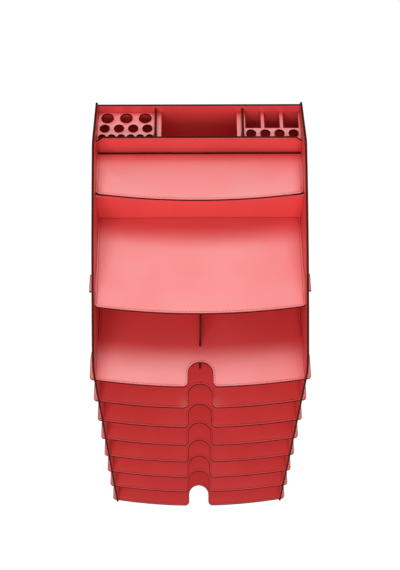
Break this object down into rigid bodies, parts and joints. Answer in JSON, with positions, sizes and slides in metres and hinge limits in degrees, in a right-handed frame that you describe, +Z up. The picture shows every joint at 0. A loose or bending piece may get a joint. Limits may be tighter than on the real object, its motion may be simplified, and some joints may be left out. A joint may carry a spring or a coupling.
{
  "type": "document tray tower",
  "caption": "Upright desk tower of bow-fronted slide-in document trays between two sloped side panels, with a stepped shelf head and a holder box with drilled plates and a middle well.",
  "frame": {"origin": "middle of the tower's box, on the surface that it stands on", "axes": "+Z up, -Y towards the front where the trays draw out, +X to the right seen from the front"},
  "size_m": [0.2592, 0.3164, 0.5845],
  "materials": {
    "side_board": "fibreboard faced with red leatherette, satin, with bare dark brown edges",
    "tray_board": "fibreboard faced with red leatherette, satin, with bare dark brown edges and a stitched border"
  },
  "bodies": {
    "frame": {"left_side_panel": "side_board", "right_side_panel": "side_board", "back_panel": "side_board", "main_shelf": "tray_board", "upper_shelf": "tray_board", "riser_panel": "tray_board", "pen_box_front": "tray_board", "left_pen_divider": "tray_board", "right_pen_divider": "tray_board", "left_pen_plate": "tray_board", "right_pen_plate": "tray_board", "centre_divider": "tray_board"},
    "tray_1": {"tray_1": "tray_board"},
    "tray_2": {"tray_2": "tray_board"},
    "tray_3": {"tray_3": "tray_board"},
    "tray_4": {"tray_4": "tray_board"},
    "tray_5": {"tray_5": "tray_board"},
    "tray_6": {"tray_6": "tray_board"},
    "tray_7": {"tray_7": "tray_board"},
    "tray_8": {"tray_8": "tray_board"}
  },
  "joints": [
    {"name": "tray_1_slide", "type": "slide", "parent": "frame", "child": "tray_1", "axis": [0, -1, 0], "range_m": [0, 0.24]},
    {"name": "tray_2_slide", "type": "slide", "parent": "frame", "child": "tray_2", "axis": [0, -1, 0], "range_m": [0, 0.24]},
    {"name": "tray_3_slide", "type": "slide", "parent": "frame", "child": "tray_3", "axis": [0, -1, 0], "range_m": [0, 0.24]},
    {"name": "tray_4_slide", "type": "slide", "parent": "frame", "child": "tray_4", "axis": [0, -1, 0], "range_m": [0, 0.24]},
    {"name": "tray_5_slide", "type": "slide", "parent": "frame", "child": "tray_5", "axis": [0, -1, 0], "range_m": [0, 0.24]},
    {"name": "tray_6_slide", "type": "slide", "parent": "frame", "child": "tray_6", "axis": [0, -1, 0], "range_m": [0, 0.24]},
    {"name": "tray_7_slide", "type": "slide", "parent": "frame", "child": "tray_7", "axis": [0, -1, 0], "range_m": [0, 0.24]},
    {"name": "tray_8_slide", "type": "slide", "parent": "frame", "child": "tray_8", "axis": [0, -1, 0], "range_m": [0, 0.24]}
  ]
}
